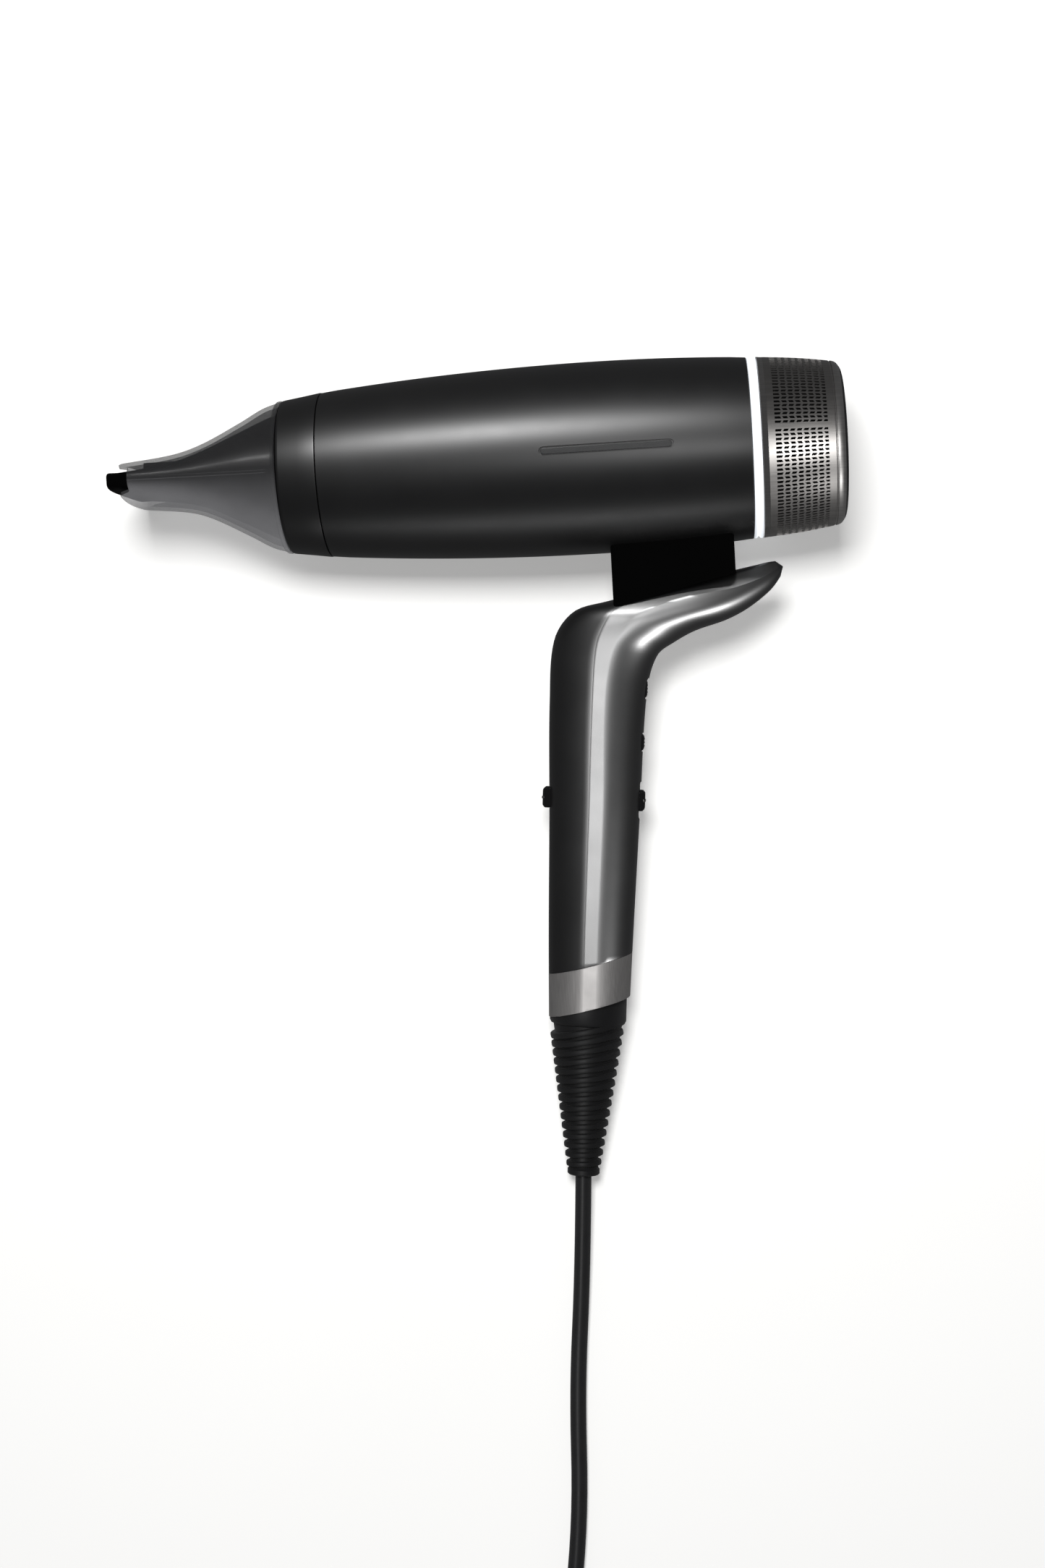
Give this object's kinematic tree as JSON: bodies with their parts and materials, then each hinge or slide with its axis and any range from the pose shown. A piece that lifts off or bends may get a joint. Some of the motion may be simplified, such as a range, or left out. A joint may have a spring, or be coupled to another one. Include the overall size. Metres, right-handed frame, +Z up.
{
  "type": "hair dryer",
  "caption": "Black hair dryer lying on its side, with a flat nozzle, lit ring, clip-off rear filter, raked handle with controls, and a mains lead with plug.",
  "frame": {"origin": "on the surface, under the middle of the dryer as it lies on its side, without its lead", "axes": "+Z up; +X from the nozzle to the air inlet; +Y from the handle to the barrel"},
  "size_m": [0.3144, 0.6273, 0.0762],
  "materials": {
    "body_black": "satin black",
    "grille_metal": "dark perforated metal",
    "smoke_plastic": "smoke grey, slightly clear",
    "duct_black": "matt black",
    "light_white": "translucent white",
    "badge_weave": "fine dark weave",
    "button_black": "satin black with a bright line",
    "rubber_black": "matt black rubber",
    "strap": "black hook and loop strap",
    "pin_metal": "nickel plated",
    "motor_steel": "zinc plated",
    "motor_core": "varnished laminations",
    "fan_plastic": "moulded",
    "mica": "mica",
    "heater_alloy": "heating alloy",
    "board_green": "circuit board",
    "capacitor_sleeve": "sleeved",
    "wire_sleeve": "silicone sleeve",
    "mesh_steel": "fine woven mesh"
  },
  "bodies": {
    "housing": {"badge_inlay": "badge_weave", "barrel_shell": "body_black", "board_capacitors": "capacitor_sleeve", "button_board": "board_green", "cord_clamp": "fan_plastic", "cord_coil": "rubber_black", "cord_lead": "rubber_black", "cord_tail": "rubber_black", "cord_tie": "strap", "duct_seals": "rubber_black", "fan_duct": "fan_plastic", "filter_seat": "duct_black", "front_collar": "body_black", "handle_front_shell": "body_black", "handle_rear_shell": "body_black", "handle_wires": "wire_sleeve", "heater_frame": "mica", "heater_sleeve": "mica", "heater_wire": "heater_alloy", "inner_lead": "rubber_black", "ioniser_module": "fan_plastic", "light_board": "board_green", "light_ring": "light_white", "metal_band": "grille_metal", "motor_bearings": "motor_steel", "motor_can": "motor_steel", "motor_stator": "motor_core", "neck_shell": "body_black", "outlet_grille": "duct_black", "plug_body": "rubber_black", "plug_pins": "pin_metal", "power_board": "board_green", "slide_switch": "fan_plastic", "strain_relief": "rubber_black", "tact_switches": "fan_plastic", "thermal_fuse": "heater_alloy", "thermostat": "motor_steel"},
    "impeller_group": {"impeller": "fan_plastic", "impeller_cap": "fan_plastic", "motor_shaft": "motor_steel", "motor_rotor": "motor_steel"},
    "coupling": {"nozzle_coupling_ring": "duct_black"},
    "nozzle": {"nozzle_outer_shell": "smoke_plastic", "nozzle_inner_duct": "duct_black"},
    "filter": {"filter_sleeve": "grille_metal", "filter_front_trim": "grille_metal", "filter_rear_trim": "grille_metal", "filter_mesh": "mesh_steel", "rear_cap": "body_black"},
    "power_switch": {"power_slider": "button_black"},
    "heat_key": {"heat_button": "button_black"},
    "speed_key": {"speed_button": "button_black"},
    "cool_key": {"cool_shot_button": "button_black"}
  },
  "joints": [
    {"name": "impeller_spin", "type": "hinge", "parent": "housing", "child": "impeller_group", "pos_m": [0.06741, 0.12431, 0.03852], "axis": [0.9998, 0, 0.0194], "continuous": true},
    {"name": "coupling_pull", "type": "slide", "parent": "housing", "child": "coupling", "axis": [-0.9998, 0, -0.0194], "range_m": [0, 0.03]},
    {"name": "nozzle_turn", "type": "hinge", "parent": "coupling", "child": "nozzle", "pos_m": [-0.08256, 0.12431, 0.03561], "axis": [-0.9998, 0, -0.0194], "continuous": true},
    {"name": "filter_pull", "type": "slide", "parent": "housing", "child": "filter", "axis": [0.9998, 0, 0.0194], "range_m": [0, 0.03]},
    {"name": "power_slide", "type": "slide", "parent": "housing", "child": "power_switch", "axis": [0.0808, 0.9914, 0.1029], "range_m": [-0.003, 0.003]},
    {"name": "heat_press", "type": "slide", "parent": "housing", "child": "heat_key", "axis": [-0.9965, 0.0824, -0.0109], "range_m": [0, 0.0008], "stiffness_N_per_m": 500, "springref_m": -0.0005},
    {"name": "speed_press", "type": "slide", "parent": "housing", "child": "speed_key", "axis": [-0.9965, 0.0824, -0.0109], "range_m": [0, 0.0008], "stiffness_N_per_m": 500, "springref_m": -0.0005},
    {"name": "cool_press", "type": "slide", "parent": "housing", "child": "cool_key", "axis": [0.9965, -0.0824, 0.0109], "range_m": [0, 0.0015], "stiffness_N_per_m": 500, "springref_m": -0.0005}
  ]
}
